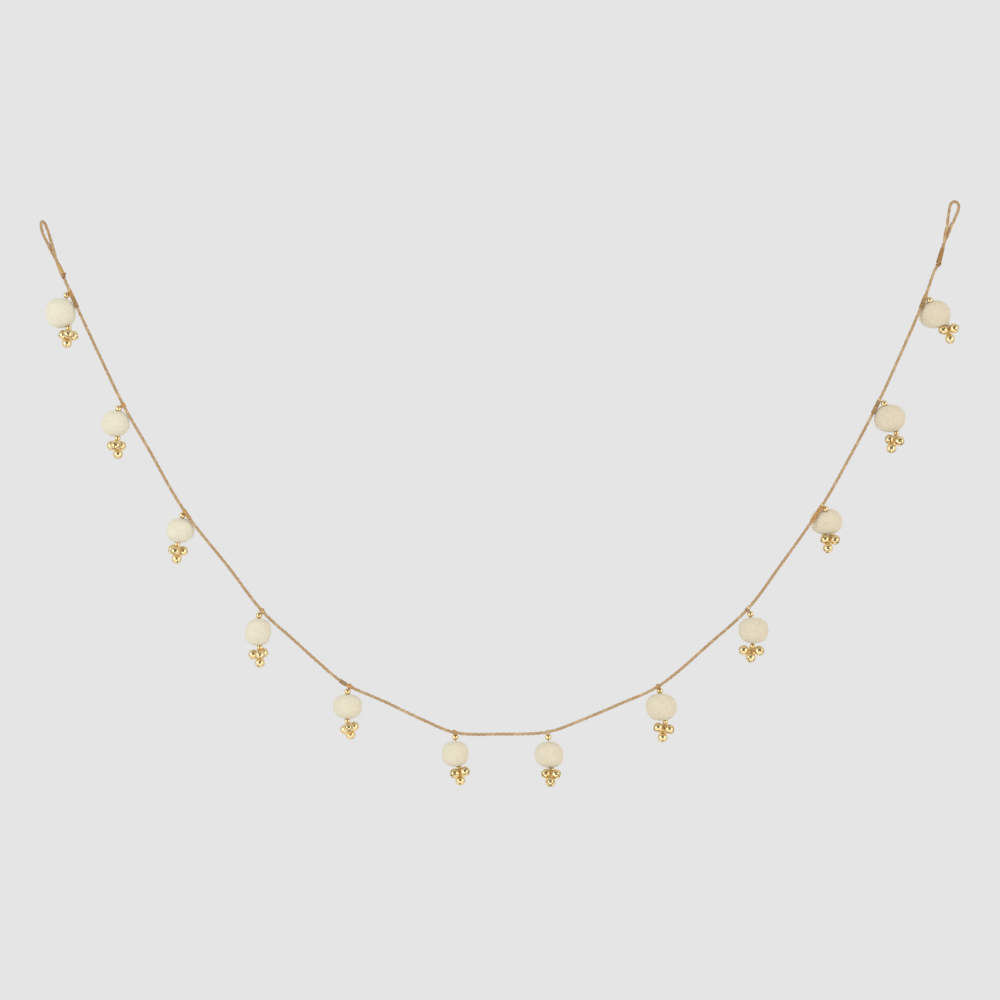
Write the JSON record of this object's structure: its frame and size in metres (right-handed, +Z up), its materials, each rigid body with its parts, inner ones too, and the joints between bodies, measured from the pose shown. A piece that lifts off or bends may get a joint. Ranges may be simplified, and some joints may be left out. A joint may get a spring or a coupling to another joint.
{
  "type": "felt ball garland",
  "caption": "Garland of wool felt balls, each hung by a thread between gold beads with small jingle bells below, on a twisted cord with a hanging loop at each end.",
  "frame": {"origin": "inside top of the left hanging loop, where it bears on what it hangs from", "axes": "+X to the right along the wall, +Y towards the wall, +Z up; the front faces -Y"},
  "size_m": [0.9193, 0.044, 0.5841],
  "materials": {
    "cord": "twisted jute-like cord, matt",
    "thread": "wound thread, matt",
    "felt": "wool felt, soft and fibrous",
    "gold": "polished, gold-coloured"
  },
  "bodies": {
    "root": {"cord": "cord", "left_whipping": "thread", "right_whipping": "thread", "left_knot": "thread", "right_knot": "thread", "tie_thread_01": "thread", "top_bead_01": "gold", "felt_ball_01": "felt", "bell_cluster_01": "gold", "tie_thread_02": "thread", "top_bead_02": "gold", "felt_ball_02": "felt", "bell_cluster_02": "gold", "tie_thread_03": "thread", "top_bead_03": "gold", "felt_ball_03": "felt", "bell_cluster_03": "gold", "tie_thread_04": "thread", "top_bead_04": "gold", "felt_ball_04": "felt", "bell_cluster_04": "gold", "tie_thread_05": "thread", "top_bead_05": "gold", "felt_ball_05": "felt", "bell_cluster_05": "gold", "tie_thread_06": "thread", "top_bead_06": "gold", "felt_ball_06": "felt", "bell_cluster_06": "gold", "tie_thread_07": "thread", "top_bead_07": "gold", "felt_ball_07": "felt", "bell_cluster_07": "gold", "tie_thread_08": "thread", "top_bead_08": "gold", "felt_ball_08": "felt", "bell_cluster_08": "gold", "tie_thread_09": "thread", "top_bead_09": "gold", "felt_ball_09": "felt", "bell_cluster_09": "gold", "tie_thread_10": "thread", "top_bead_10": "gold", "felt_ball_10": "felt", "bell_cluster_10": "gold", "tie_thread_11": "thread", "top_bead_11": "gold", "felt_ball_11": "felt", "bell_cluster_11": "gold", "tie_thread_12": "thread", "top_bead_12": "gold", "felt_ball_12": "felt", "bell_cluster_12": "gold"}
  },
  "joints": []
}
